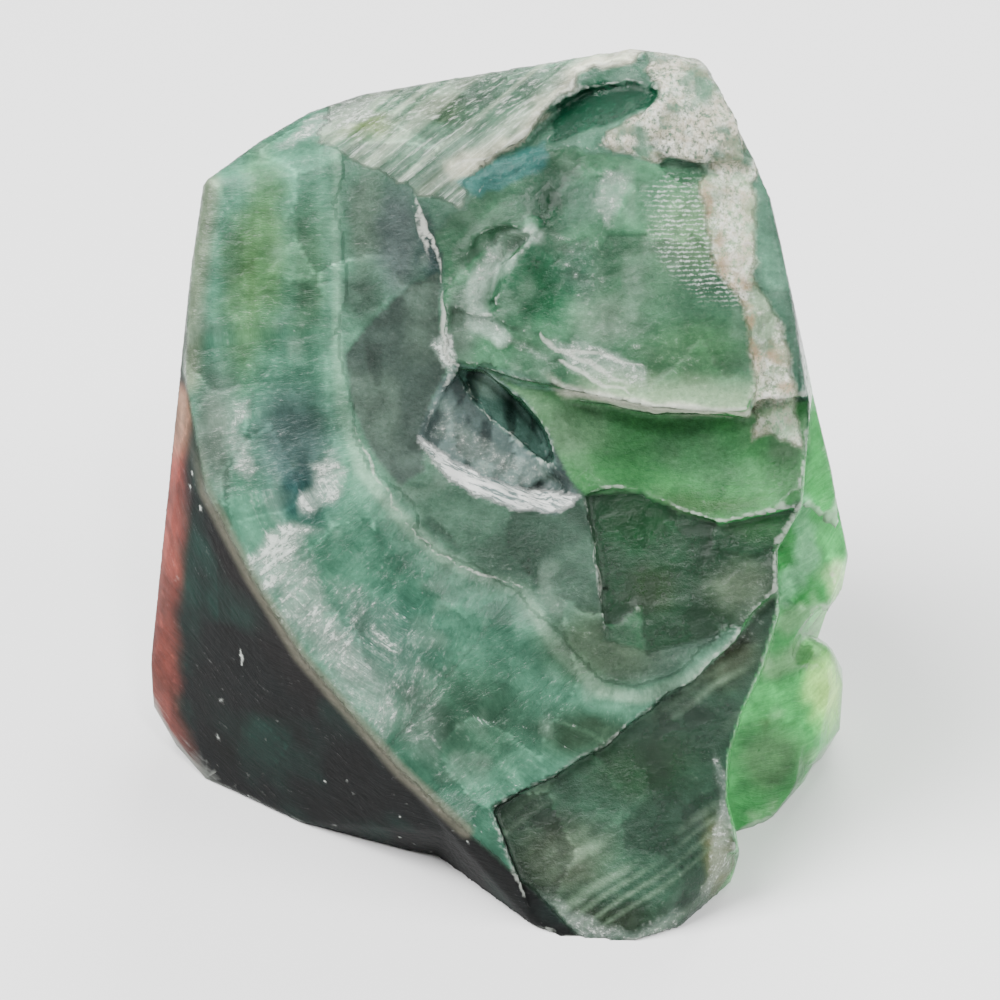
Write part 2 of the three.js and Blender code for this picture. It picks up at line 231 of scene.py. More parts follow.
# The growth bands, which run down the left of the face and turn under the boss.
band_line = [
    (338, 60), (338, 150), (335, 330), (345, 400), (360, 470), (395, 512), (440, 555), (520, 590),
    (560, 650), (600, 690), (640, 697), (690, 680), (740, 640),
]
beside_band = apart(band_line, ragged=False)
inner = within(band_line + [(800, 600), (800, 60)], ragged=False) > 0
phase = np.where(inner, beside_band, -beside_band) + 4 * cloud(9, 5)
paint(on_face, "#4f7260")
paint(on_face * soft(-phase, 0, 30), "#507a67", 0.9)
paint(on_face * spot(262, 250, 34, 130), "#53764f", 0.85)
paint(on_face * spot(240, 300, 30, 120), "#53714a", 0.6)
paint(on_face * spot(305, 270, 30, 110), "#456049", 0.7)
paint(on_face * spot(290, 440, 60, 80), "#506161", 0.8)
paint(on_face * spot(300, 495, 44, 56), "#213b3d", 0.8)
paint(on_face * spot(215, 430, 34, 90), "#696f68", 0.7)
paint(on_face * (1 - soft(apart([(206, 185), (190, 300), (186, 380)], False), 4, 22)), "#87907a", 0.7)
paint(on_face * spot(400, 240, 36, 90), "#4f5858", 0.85)
paint(on_face * spot(428, 250, 14, 60), "#263237", 0.8)
paint(on_face * spot(365, 220, 26, 90), "#5a665b", 0.6)
paint(on_face * spot(360, 300, 30, 40), "#2b312d", 0.7)
paint(on_face * spot(470, 720, 110, 90), "#364c3d", 0.7)
paint(on_face * spot(380, 640, 80, 70), "#2e574c", 0.6)
paint(on_face * spot(590, 735, 80, 40), "#2a2a1c", 0.7)
paint(on_face * (1 - soft(np.abs(phase), 2, 12)) * soft(down, 300, 560), "#8ca893", 0.5)
paint(on_face * (1 - soft(np.abs(phase), 1, 7)) * soft(420 - down, 0, 60), "#7ba088", 0.35)

# The half moon of dark grey and the grey-green bowl below it.
half_moon = [
    (440, 272), (415, 283), (396, 298), (378, 315), (362, 332), (345, 355), (352, 400), (372, 450),
    (400, 485), (424, 470), (422, 440), (432, 400), (447, 372), (440, 330),
]
in_moon = soft(within(half_moon, False) + 1.5 * cloud(2, 7), -2, 2) * on_face
paint(on_face * soft(phase, 4, 20) * soft(down, 380, 470), "#435c4e")
paint(on_face * spot(510, 565, 90, 50), "#31463a", 0.8)
paint(on_face * spot(600, 650, 90, 60), "#333d2d", 0.7)
paint(in_moon, "#3b4641", 0.95)
paint(in_moon * soft(cloud(8, 8), 0, 0.6), "#55665b", 0.6)

# The lower right of the face.
lower_right = [
    (492, 806), (552, 776), (604, 744), (652, 706), (694, 681), (734, 641), (776, 590), (860, 600),
    (860, 1000), (560, 1000),
]
in_lower = soft(within(lower_right, False), -2, 2) * on_face
paint(in_lower, "#30483a")
paint(in_lower * spot(640, 765, 90, 50), "#1e3522", 0.8)
paint(in_lower * spot(560, 860, 70, 60), "#454e40", 0.8)
# Painted shadow: the near-black patch at the top right of this part stands for shade on the step below the
# dark facets.
paint(in_lower * spot(720, 650, 60, 50), "#242717", 0.9)
paint(in_lower * spot(600, 920, 80, 30), "#151705", 0.7)
paint(in_lower * spot(720, 860, 24, 60), "#67633a", 0.7)

swept_grey = np.random.default_rng(4).random(300)
swept = np.interp(0.57 * across + 0.82 * down + 5 * cloud(8, 95), np.arange(300) * 6, swept_grey)
paint(in_lower * soft(swept, 0.45, 0.95) * soft(cloud(11, 96), -0.4, 0.3), "#7c917c", 0.4)

# The dark facets right of the flap.
dark_facets = [
    (584, 492), (640, 488), (682, 510), (722, 522), (800, 504), (792, 534), (776, 552), (776, 596),
    (752, 622), (700, 640), (650, 652), (604, 640), (600, 580),
]
in_facets = soft(within(dark_facets, False), -2, 2) * on_face
paint(in_facets, "#2b4634")
paint(in_facets * spot(640, 520, 60, 40), "#0e4221", 0.9)
paint(in_facets * spot(755, 530, 50, 22), "#305336", 0.9)
paint(in_facets * spot(650, 590, 40, 40), "#2d412b", 0.8)
paint(in_facets * spot(740, 590, 50, 40), "#596956", 0.9)
side_wall = on_face * soft(normals[:, 0], 0.25, 0.5) * soft(across, 735, 752) * soft(down, 500, 530)
paint(side_wall * soft(700 - down, 0, 30), "#4a7653", 0.85)

# The boss of clear green.
boss = [
    (448, 362), (436, 300), (434, 235), (470, 196), (545, 150), (650, 160), (700, 170), (745, 240),
    (768, 320), (758, 384), (746, 412), (700, 409), (655, 408), (610, 399), (562, 390), (520, 380),
]
in_boss = soft(within(boss), -2, 3) * on_face
paint(in_boss, "#466c54")
paint(in_boss * spot(535, 280, 70, 60), "#28513c", 0.9)
paint(in_boss * spot(690, 355, 90, 50), "#416747", 0.85)
paint(in_boss * spot(560, 200, 80, 40), "#4e715e", 0.9)
paint(in_boss * spot(650, 280, 50, 60), "#608a6d", 0.7)
paint(in_boss * spot(700, 230, 60, 60), "#749571", 0.7)
paint(in_boss * spot(460, 320, 24, 60), "#58675d", 0.8)
paint(in_boss * spot(548, 205, 30, 44), "#11432a", 0.9)
paint(in_boss * spot(532, 290, 36, 50), "#0e4429", 0.9)
paint(in_boss * spot(578, 268, 22, 40), "#1d4d38", 0.8)
paint(in_boss * spot(520, 344, 46, 14), "#104425", 0.8)
paint(in_boss * spot(605, 318, 50, 34), "#86a28c", 0.6)
shell_break = [(530, 236), (506, 246), (490, 270), (474, 292), (478, 322), (500, 336)]
paint(in_boss * (1 - soft(apart(shell_break), 5, 16)), "#93a79a", 0.7)

# The smooth trough under the boss.
trough = [
    (484, 370), (522, 388), (562, 392), (610, 401), (655, 410), (700, 411), (757, 411), (808, 400),
    (806, 500), (757, 514), (720, 524), (680, 512), (640, 492), (585, 494), (556, 470), (548, 436),
    (522, 400),
]
in_trough = soft(within(trough, False) + cloud(2, 9), -2, 2) * on_face
paint(in_trough, "#4a8253")
paint(in_trough * spot(570, 430, 60, 50), "#6f8f71", 0.7)
paint(in_trough * spot(700, 455, 70, 40), "#5a8c63", 0.8)
paint(in_trough * spot(700, 505, 90, 22), "#466343", 0.8)
paint(in_trough * spot(785, 470, 34, 50), "#2f4a32", 0.7)
paint(in_trough * soft(cloud(10, 93, (1.6, 1, 0.7)) + 0.4 * cloud(3, 94), 0.1, 0.9), "#86a287", 0.4)

# The hollow over the crescent and the dark pocket behind it, with a painted highlight in the pocket.
hollow = [
    (418, 436), (452, 478), (482, 494), (520, 509), (556, 514), (580, 498), (548, 436), (522, 400),
    (484, 370), (456, 364), (440, 384),
]
in_hollow = soft(within(hollow, False), -2, 2) * on_face
pocket = [
    (453, 366), (482, 368), (524, 398), (550, 436), (558, 470), (536, 458), (516, 440), (490, 420),
    (470, 398),
]
in_pocket = soft(within(pocket, False), -2, 2) * on_face
paint(in_hollow, "#5a6a67")
paint(in_hollow * soft(cloud(3, 92, (0.5, 1, 1.4)), 0.0, 0.4), "#202b2b", 0.7)
paint(in_pocket, "#56736a", 0.95)
paint(in_pocket * soft(cloud(3, 91, (0.4, 1, 2)), -0.1, 0.4), "#1c2c29", 0.8)
# Painted highlight: a pale spot high in the pocket.
paint(in_pocket * spot(490, 385, 22, 16), "#a9c4b8", 0.7)

# The window sunk at the top, the silky slab and the crust.
window = [
    (548, 128), (556, 100), (590, 82), (636, 78), (662, 92), (640, 112), (600, 134), (552, 142),
]
teal_sill = [(458, 182), (500, 156), (548, 136), (552, 168), (500, 190), (478, 200)]
slab = [
    (314, 140), (340, 90), (440, 70), (640, 40), (660, 52), (590, 74), (548, 104), (528, 136),
    (497, 154), (470, 176), (462, 202), (424, 196), (372, 170),
]
crust = [
    (640, 40), (712, 50), (760, 180), (745, 190), (706, 178), (690, 164), (652, 160), (604, 150),
    (612, 134), (644, 114), (662, 92),
]
vein = [
    (702, 176), (754, 172), (757, 230), (757, 275), (774, 310), (788, 345), (797, 390), (804, 452),
    (756, 440), (750, 395), (750, 340), (741, 302), (717, 272), (705, 240), (702, 205),
]
in_window = soft(within(window), -2, 3) * on_face
in_slab = soft(within(slab), -2, 3) * soft(near, -0.034, -0.028) * soft(facing, 0.0, 0.25)
in_crust = soft(within(crust), -2, 3) * soft(near, -0.034, -0.028) * soft(facing, -0.1, 0.15)
in_vein = soft(within(vein), -2, 6) * on_face
paint(in_slab, "#55705f")
paint(in_slab * spot(360, 125, 50, 26), "#5b693e", 0.8)
paint(in_slab * spot(440, 110, 40, 20), "#3a4e38", 0.8)
slab_along = 0.63 * down - 0.776 * across
slab_side = 0.776 * down + 0.63 * across
comb_grey = np.random.default_rng(3).random(400)
combed = np.interp(slab_side + 4 * cloud(12, 71), np.arange(400) * 5, comb_grey)
combed = 0.6 * combed + 0.4 * np.interp(slab_side + 3 * cloud(8, 72), np.arange(400) * 2.4, comb_grey[::-1])
paint(in_slab * soft(combed, 0.35, 0.9), "#b3bba9", 0.5)
paint(in_slab * soft(combed, 0.5, 0.1), "#2c3f36", 0.35)
slab_ledge = [(455, 170), (495, 152), (524, 135), (546, 106), (588, 72), (640, 54)]
paint(in_slab * (1 - soft(apart(slab_ledge), 4, 18)), "#c9c7b4", 0.7)
paint(soft(within(teal_sill), -2, 3) * on_face, "#3f716a")
paint(in_window, "#184a36")
paint(in_crust, "#5f7d69")
paint(in_vein, "#93ab8e")
paint(in_vein * spot(790, 420, 30, 40), "#cbefd0", 0.8)

# The bright flank behind the face, with its pale lower hump and a painted highlight along its edge.
paint(green_flank, "#4faa62")
paint(green_flank * spot(790, 560, 40, 70), "#1c6d31", 0.8)
paint(green_flank * (1 - soft(apart([(842, 596), (812, 640), (776, 668)]), 5, 18)), "#9cc695", 0.6)
# Painted highlight: a pale mint line along the flank's edge next to the rim.
paint(green_flank * (1 - soft(apart([(800, 500), (806, 560), (782, 600)]), 4, 16)), "#93cfa6", 0.5)
paint(green_flank * spot(826, 690, 30, 56), "#aedd81", 0.95)
paint(green_flank * soft(cloud(5, 73) + 0.5 * cloud(2.2, 74), 0.35, 0.9), "#a8d6a4", 0.5)
paint(green_flank * soft(cloud(6, 75) + 0.5 * cloud(2.6, 76), 0.45, 1.0), "#2c6b3c", 0.6)
paint(green_flank * spot(766, 724, 14, 12) * soft(cloud(2, 77), -0.2, 0.5), "#4d241c", 0.7)
paint(green_flank * spot(770, 760, 50, 60), "#4f664a", 0.8)
paint(green_flank * spot(838, 580, 20, 30), "#b7e4a0", 0.8)

# The flank under the banded rim, painted near black as painted shade, for it faces down away from the
# light, with a pink edge at the far left.
paint(shaded_flank, "#050b0b")
paint(shaded_flank * (1 - soft(apart([(225, 560), (262, 616), (330, 706)]), 6, 34)), "#120d0d", 0.8)
paint(shaded_flank * spot(260, 740, 60, 40), "#020f05", 0.8)
paint(shaded_flank * soft(cloud(13, 83) + 0.4 * cloud(5, 84), -0.1, 0.6), "#0f2f28", 0.8)
left_edge = [(172, 400), (166, 520), (160, 620), (158, 700), (172, 750)]
near_edge = (1 - soft(apart(left_edge, False) + 4 * cloud(5, 17), 8, 26)) * (1 - on_face)
near_edge *= soft(facing + 0.0006 * (down - 520), -0.2, 0.15)
near_edge *= soft(near + 0.026 + 0.00012 * (down - 480) + 0.004 * cloud(7, 97), -0.009, 0.007)
near_edge *= 0.8 + 0.25 * cloud(5, 98)
paint(near_edge, "#85453b", 0.9)
paint(near_edge * soft(470 - down, 0, 50), "#a08870", 0.9)

# The veils, shards and growth rings inside the crystal, each a little lighter or darker than the next.
def shade(mask, low, high):
    """Multiplies the colour by 1 + low to 1 + high as mask goes from -1 to 1."""
    tint[:] = tint * (1 + np.where(mask > 0, mask * high, -mask * low))[:, None]


smooth_parts = np.clip(in_trough + in_window + in_pocket, 0, 1)
shard, wall = shards(11, 41, (1, 1, 1.5))
shade((2 * shard - 1) * (1 - 0.6 * smooth_parts), -0.26, 0.34)
splinter = shards(4.2, 47, (1.3, 1, 0.8))[0]
shade((2 * splinter - 1) * soft(cloud(15, 48), -0.2, 0.5) * (1 - smooth_parts), -0.2, 0.24)
shade(cloud(9, 51), -0.30, 0.32)
shade(cloud(4, 52, (1.2, 1, 0.8)), -0.22, 0.26)
shade(cloud(1.9, 53) * (1 - 0.6 * smooth_parts), -0.18, 0.22)
ring_grey = np.random.default_rng(5).random(260) * 2 - 1
ring = 0.6 * np.interp(phase + 1000, np.arange(260) * 14, ring_grey) + 0.4 * np.interp(
    phase + 1000, np.arange(260) * 5, np.roll(ring_grey, 60)
)
shade(ring * on_face * soft(30 - phase, 0, 40), -0.26, 0.34)
veil = soft(cloud(7, 54, (0.5, 1, 1)) + 0.6 * cloud(2.5, 55), 0.35, 1.1) * (1 - 0.7 * smooth_parts)
paint(veil * on_face * (1 - in_lower) * (1 - in_facets) * (1 - in_moon), "#9fb7a6", 0.18)
broken_wall = (1 - soft(wall, 0.0, 0.05)) * (shard > 0.6) * soft(cloud(14, 58), 0.0, 0.4)
shade(broken_wall * (1 - smooth_parts), 0, 0.5)

# Depth: the dark places darker, and the pale ones nearly as they are.
BRIGHTER = 1.18
DEEPER = 1.2
tint[:] = BRIGHTER * np.clip(tint, 0, 1) ** DEEPER

# Frost: how thickly small white flaws cover each place.
frost = 0.10 + 0.12 * cloud(11, 21) + 0.10 * cloud(4, 24)
frost += 0.16 * on_face * soft(-phase, -20, 20) * soft(cloud(7, 22), -0.4, 0.6)
for amount, fade, outline in (
    (1.05, 10, [
        (306, 464), (330, 452), (352, 472), (342, 496), (322, 508), (306, 520), (300, 500),
        (312, 484),
    ]),
    (0.95, 9, [(232, 396), (250, 400), (242, 430), (256, 468), (250, 488), (236, 480), (230, 440)]),
    (0.42, 14, [(196, 430), (240, 420), (300, 480), (250, 520), (216, 500)]),
    (1.15, 14, [(244, 556), (262, 532), (300, 524), (318, 530), (300, 560), (286, 590), (262, 600)]),
    (0.9, 24, [
        (262, 570), (306, 540), (340, 610), (400, 680), (410, 720), (380, 740), (330, 690),
        (280, 630),
    ]),
    (0.62, 30, [(320, 560), (400, 590), (460, 690), (450, 790), (400, 762), (330, 680)]),
    (0.30, 26, [(400, 700), (500, 700), (600, 740), (520, 780), (470, 826)]),
    (0.28, 16, [(186, 340), (300, 330), (300, 470), (250, 520), (196, 470)]),
    (0.35, 20, [(230, 300), (330, 280), (330, 340), (240, 350)]),
    (0.8, 5, [
        (516, 232), (534, 240), (508, 256), (492, 280), (480, 296), (470, 300), (470, 270),
        (484, 246),
    ]),
    (0.7, 10, [(470, 300), (500, 312), (520, 336), (560, 352), (556, 370), (500, 350), (470, 330)]),
    (0.95, 7, [(552, 338), (596, 338), (640, 364), (650, 388), (600, 386), (570, 374)]),
    (0.85, 7, [(604, 168), (634, 172), (622, 206), (612, 232), (600, 228), (596, 200)]),
    (0.55, 14, [(540, 220), (600, 236), (610, 290), (580, 320), (560, 280)]),
    (0.45, 20, [(640, 180), (740, 190), (760, 300), (700, 300), (640, 230)]),
    (0.45, 24, [(600, 300), (690, 320), (720, 390), (640, 380), (590, 340)]),
    (0.95, 8, [(760, 396), (802, 402), (800, 452), (780, 440), (756, 446)]),
    (0.5, 12, [(716, 650), (740, 596), (776, 566), (774, 620), (756, 650)]),
    (0.8, 12, [(526, 884), (560, 900), (630, 930), (690, 900), (660, 950), (580, 950)]),
    (1.2, 5, [(436, 330), (452, 334), (460, 356), (452, 372), (440, 364), (430, 344)]),
    (0.4, 16, [(452, 300), (500, 320), (560, 380), (480, 366), (450, 350)]),
    (0.35, 14, [(440, 550), (540, 560), (600, 600), (600, 640), (520, 620)]),
    (0.85, 9, [(714, 740), (738, 800), (730, 880), (700, 900), (712, 820)]),
    (1.0, 9, [(310, 112), (370, 100), (388, 120), (340, 138), (300, 146), (270, 150)]),
    (0.7, 8, [(444, 396), (470, 430), (530, 456), (566, 488), (520, 490), (460, 460), (430, 436)]),
):
    frost = np.maximum(frost, amount * soft(within(outline), -fade, fade) * on_face)
frost = np.maximum(frost, 0.55 * np.maximum(in_crust, in_vein))
crescent_shape = [
    (418, 436), (432, 444), (452, 459), (484, 475), (520, 487), (556, 490), (582, 494), (574, 508),
    (548, 514), (512, 509), (478, 497), (446, 480), (428, 458),
]
in_crescent = soft(within(crescent_shape, False) + 2.5 * cloud(1.5, 61), -1, 3) * on_face
in_crescent *= 0.75 + 0.25 * cloud(3, 60)
lip_line = [(545, 374), (562, 390), (610, 399), (655, 408), (700, 409), (746, 412)]
lip = apart(lip_line, False)
# The lip's cream edge: partly frost, partly a painted glow of light coming through the edge.
frost_and_glow_lip = (1 - soft(lip + 3 * cloud(3, 62), 2, 8)) * on_face * soft(across, 540, 575)
frost = np.where(in_trough > 0.5, frost * 0.25, frost)
frost = np.where(in_facets + in_lower + in_moon > 0.5, np.where(frost < 0.35, frost * 0.3, frost), frost)
frost = np.where((in_pocket > 0.5) | (in_window > 0.5), frost * 0.4, frost)
frost = frost * (1 - in_crescent)
frost += 1.4 * shaded_flank * soft(cloud(1.3, 81) + 0.5 * cloud(6, 82), 0.75, 1.1)

# Dense frost also veils the crystal under it.
paint(soft(frost, 0.35, 1.3) * on_face, "#a3b8ab", 0.55)

# The lip of the boss: a cream edge, partly frost and partly a painted glow of light through the edge, over
# a pale border painted as if lit through.
paint(in_boss * (1 - soft(lip, 6, 42)) * soft(across, 560, 620), "#a6c69c", 0.65)
paint(frost_and_glow_lip, "#d9dcc8", 0.85)

# The polished rim between the face and the flank in shade: a pale line along it, partly wear and partly a
# painted reflection on the polish.
left_rim = [
    (203, 180), (187, 330), (187, 400), (205, 490), (250, 575), (300, 656), (400, 771), (466, 831),
]
rim_gap = apart(left_rim, False)
paint((1 - soft(rim_gap, 3, 10)) * soft(down, 420, 520) * soft(near, -0.03, -0.02), "#716f60", 0.65)

# Hairline cracks and the bright edges of the breaks; the last line, along the right rim, is a painted
# highlight.
cracks_and_rim_glint = np.full(count, 1e3)
for thin_by, line in (
    (0, [(418, 195), (428, 235), (433, 270), (437, 330), (450, 360), (456, 366)]),
    (1.5, [(410, 190), (420, 225), (424, 262)]),
    (4, [(440, 272), (396, 298), (362, 332), (345, 355)]),
    (1.0, [(352, 430), (395, 512), (440, 555), (480, 575), (520, 590)]),
    (3, [(330, 250), (362, 243), (392, 246)]),
    (3, [(345, 355), (300, 352), (268, 358)]),
    (3, [(448, 300), (474, 318), (512, 334), (546, 352), (562, 386)]),
    (0.5, [(545, 332), (562, 348), (600, 354), (642, 368), (636, 392), (600, 385), (560, 362)]),
    (0.5, [(560, 350), (590, 366), (630, 388)]),
    (2, [(585, 494), (594, 540), (600, 580), (604, 636)]),
    (2.5, [(430, 190), (462, 203), (476, 196), (500, 170), (560, 146), (640, 152)]),
    (1, [(456, 366), (482, 410), (516, 440), (552, 465)]),
    (4, [(492, 806), (552, 776), (604, 744), (652, 706), (694, 681), (734, 641)]),
    (2.5, [(622, 160), (606, 200), (612, 240), (596, 280), (560, 310), (500, 308)]),
    (3, [(655, 300), (662, 350), (668, 405)]),
    (2, [(480, 240), (502, 232), (528, 240)]),
    (1.5, [(455, 165), (495, 150), (524, 133), (546, 104), (588, 70), (640, 52)]),
    (2.5, [(548, 108), (544, 128), (556, 146), (612, 150), (662, 164), (690, 162)]),
    # Painted highlight: a thin bright line along the right rim.
    (3, [(806, 440), (801, 505), (776, 548), (778, 610), (762, 668), (742, 712), (729, 756)]),
):
    cracks_and_rim_glint = np.minimum(cracks_and_rim_glint, apart(line) + thin_by + 1.8 * cloud(7, 63))
cracks_and_rim_glint = np.where(on_face > 0.5, cracks_and_rim_glint, 1e3)

# The small relief of the breaks, in millimetres out of the surface.
relief = 0.25 * cloud(16, 31) + 0.10 * cloud(6, 32)
relief += np.clip(frost, 0, 1) * (0.22 * cloud(1.6, 33) + 0.18 * cloud(3.0, 34))
broken = np.clip(in_boss + in_hollow + in_facets - 0.1 * in_lower + 0.35 * on_face, 0, 1)
relief += broken * (0.55 * (shard - 0.5) + 0.30 * (splinter - 0.5))
relief -= 0.25 * in_moon
relief -= 0.12 * (1 - soft(cracks_and_rim_glint, 1, 5))
relief += 0.35 * frost_and_glow_lip
relief += in_slab * 0.14 * np.sin(slab_side * 0.42 + 2.2 * cloud(9, 38)) * soft(cloud(11, 39), -0.6, 0.2)
relief += np.maximum(in_crust, in_vein) * (0.5 * cloud(2.4, 36) + 0.3 * cloud(1.2, 37))
relief *= 1 - 0.7 * smooth_parts
relief *= 1 - 0.8 * in_crescent
relief *= 1 - 0.7 * (1 - on_face) * (1 - green_flank)
on_ground = soft(spots[:, 2], 0.0002, 0.002)
spots = spots + normals * (relief * on_ground / 1000)[:, None]
skin.vertices.foreach_set("co", spots.ravel())

# How sharply the skin turns at each point: above 0 along ridges and edges, below 0 in creases.
normals_now = np.empty(count * 3)
skin.vertex_normals.foreach_get("vector", normals_now)
normals_now = normals_now.reshape(-1, 3)
ends = np.empty(len(skin.edges) * 2, np.int32)
skin.edges.foreach_get("vertices", ends)
ends = ends.reshape(-1, 2)
edge_turn = np.zeros(count)
met = np.zeros(count)
for one, other in ((0, 1), (1, 0)):
    reach = spots[ends[:, other]] - spots[ends[:, one]]
    length = np.maximum(np.linalg.norm(reach, axis=1), 1e-6)
    bend = -np.einsum("ij,ij->i", reach, normals_now[ends[:, one]]) / length
    edge_turn += np.bincount(ends[:, one], bend, count)
    met += np.bincount(ends[:, one], minlength=count)
edge_turn /= np.maximum(met, 1)
for smoothing in range(2):
    beside = np.bincount(ends[:, 0], edge_turn[ends[:, 1]], count)
    beside += np.bincount(ends[:, 1], edge_turn[ends[:, 0]], count)
    edge_turn = 0.5 * edge_turn + 0.5 * beside / np.maximum(met, 1)

# Which way the flaws run: across the growth bands, down the slab and along the crescent.
MM = UNIT * 1000
along_band = np.zeros(count)
best = np.full(count, 1e6)
run = 0.0
for (a0, d0), (a1, d1) in zip(band_line, band_line[1:]):
    length = math.hypot(a1 - a0, d1 - d0)
    t = np.clip(((across - a0) * (a1 - a0) + (down - d0) * (d1 - d0)) / length**2, 0, 1)
    gap = np.hypot(across - a0 - t * (a1 - a0), down - d0 - t * (d1 - d0))
    along_band = np.where(gap < best, run + t * length, along_band)
    best = np.minimum(best, gap)
    run += length
depth = near * 1000
FLAW = 1.1
comb = np.column_stack([millimetres[:, 0] / 4.5, shell / 0.8, millimetres[:, 2] / 4.5]) / FLAW
for mask, side, along, long, wide in (
    (on_face, down, across, 1.4, 1.0),
    (on_face * (phase + 14 * cloud(7, 68) < 8), along_band, phase, 3.0, 1.0),
    (in_boss + in_trough + in_facets + in_lower, down, across, 1.5, 1.0),
    (in_slab, slab_side, slab_along, 11.0, 0.6),
    (in_crescent, down - 0.4 * across, across, 4.5, 0.7),
    (in_crust + in_vein, across, down, 1.3, 1.0),
):
    laid = np.column_stack([side * MM / (FLAW * wide), along * MM / (FLAW * long), depth / FLAW])
    comb = np.where((mask > 0.5)[:, None], laid, comb)

# What the material reads at each point.
colour = skin.color_attributes.new("tint", "FLOAT_COLOR", "POINT")
colour.data.foreach_set("color", np.column_stack([np.clip(tint, 0, 1), np.ones(count)]).ravel())
ways = skin.attributes.new("comb", "FLOAT_VECTOR", "POINT")
ways.data.foreach_set("vector", comb.astype(np.float32).ravel())
rows_outline = [(650, 190), (690, 176), (740, 240), (752, 300), (700, 300), (660, 250)]
rows = soft(within(rows_outline), -10, 12) * on_face
stain_line = [(703, 200), (708, 245), (722, 276), (752, 312), (758, 345), (768, 372), (782, 380)]
stain = np.maximum(in_vein, in_crust) * (0.35 + 0.65 * (1 - soft(apart(stain_line), 8, 22)))
stain *= soft(cloud(2.6, 64) + 0.6 * cloud(1.3, 65), -0.25, 0.25)
for name, values in (
    ("frost", frost),
    ("cracks_and_rim_glint", cracks_and_rim_glint),
    ("crust", np.maximum(in_crust, in_vein) * soft(cloud(4.5, 66) + 0.6 * cloud(1.8, 67), -0.7, 0.3)),
    ("silk", in_slab),
    ("dull", 0.9 * shaded_flank),
    ("edge", edge_turn * 7.5),
    ("crescent", in_crescent),
    ("stain", stain),
    ("rows", rows),
):
    layer = skin.attributes.new(name, "FLOAT", "POINT")
    layer.data.foreach_set("value", values.astype(np.float32))
skin.update()

# The material: clear green crystal with white flaws near its surface.
crystal = bpy.data.materials.new("fluorite")
crystal.use_nodes = True
nodes = crystal.node_tree.nodes
links = crystal.node_tree.links
nodes.clear()


def node(kind, **values):
    """A shader node, with its settings or its inputs set by name."""
    made = nodes.new(kind)
    for key, value in values.items():
        if hasattr(made, key):
            setattr(made, key, value)
        else:
            made.inputs[key.replace("_", " ").title()].default_value = value
    return made


def read(name, output="Fac"):
    """The value that the lump carries under a name."""
    return node("ShaderNodeAttribute", attribute_name=name).outputs[output]


def sums(operation, a, b=None, c=None, clamp=False):
    """One step of arithmetic on values or plain numbers."""
    made = nodes.new("ShaderNodeMath")
    made.operation = operation
    made.use_clamp = clamp
    for socket, value in zip(made.inputs, (a, b, c)):
        if value is None:
            continue
        if isinstance(value, (int, float)):
            socket.default_value = value
        else:
            links.new(value, socket)
    return made.outputs[0]


def turn(value, low, high, start=0.0, end=1.0):
    """value from low to high as start to end, smoothly."""
    made = nodes.new("ShaderNodeMapRange")
    made.interpolation_type = "SMOOTHSTEP"
    links.new(value, made.inputs["Value"])
    for key, number in (("From Min", low), ("From Max", high), ("To Min", start), ("To Max", end)):
        made.inputs[key].default_value = number
    return made.outputs["Result"]


def blend(amount, first, second, kind="MIX"):
    """Two colours mixed by an amount."""
    made = nodes.new("ShaderNodeMix")
    made.data_type = "RGBA"
    made.blend_type = kind
    for key, value in ((0, amount), (6, first), (7, second)):
        socket = made.inputs[key]
        if isinstance(value, (int, float)):
            socket.default_value = value
        elif isinstance(value, tuple):
            socket.default_value = (*value, 1)
        else:
            links.new(value, socket)
    return made.outputs[2]


def noise(where, scale, detail, roughness):
    """Noise over places, from 0 to 1."""
    made = node("ShaderNodeTexNoise", Scale=scale, Detail=detail, Roughness=roughness)
    links.new(where, made.inputs["Vector"])
    return made.outputs["Fac"]


place = node("ShaderNodeTexCoord").outputs["Object"]
flakes = noise(read("comb", "Vector"), 1.0, 4.0, 0.76)
fine = noise(place, 1300, 2.0, 0.7)
clear = read("tint", "Color")

# A soft grain that runs with the flaws.
clear = blend(turn(flakes, 0.30, 0.55, 0.5, 0), clear, blend(1.0, clear, (0.55, 0.62, 0.60), "MULTIPLY"))
clear = blend(turn(flakes, 0.50, 0.78, 0, 0.5), clear, blend(1.0, clear, (1.7, 1.55, 1.6), "MULTIPLY"))

# A finer grain all over.
clear = blend(turn(fine, 0.30, 0.50, 0.35, 0), clear, blend(1.0, clear, (0.55, 0.58, 0.56), "MULTIPLY"))
clear = blend(turn(fine, 0.52, 0.74, 0, 0.4), clear, blend(1.0, clear, (1.6, 1.5, 1.55), "MULTIPLY"))

# White flaws: feathery flakes, thicker where the lump is frosted.
grain = sums("MULTIPLY_ADD", flakes, 2.2, sums("MULTIPLY", fine, 0.9))
flaky = sums("MULTIPLY_ADD", read("frost"), 0.8, grain)
white = sums("MULTIPLY_ADD", turn(flaky, 2.3, 2.6), 0.5, sums("MULTIPLY", turn(flaky, 1.95, 3.1), 0.5))
clear = blend(sums("MULTIPLY", white, 0.85), clear, (0.74, 0.79, 0.73))
# Pale hairlines on the cracks, and a painted highlight along the right rim.
line = turn(sums("MULTIPLY_ADD", flakes, 3.5, read("cracks_and_rim_glint")), 2.2, 4.6, 1.0, 0.0)
clear = blend(sums("MULTIPLY", line, 0.5), clear, (0.76, 0.78, 0.70))

# Pale edges of the breaks, partly wear and partly painted highlight, and painted shade darkening the
# creases.
edge = read("edge")
clear = blend(turn(sums("MULTIPLY_ADD", flakes, 1.2, edge), 1.25, 2.1, 0, 0.4), clear, (0.68, 0.73, 0.66))
# Painted shade: the creases are darkened.
clear = blend(turn(edge, -1.6, -0.5, 0.3, 0), clear, blend(1.0, clear, (0.4, 0.45, 0.45), "MULTIPLY"))

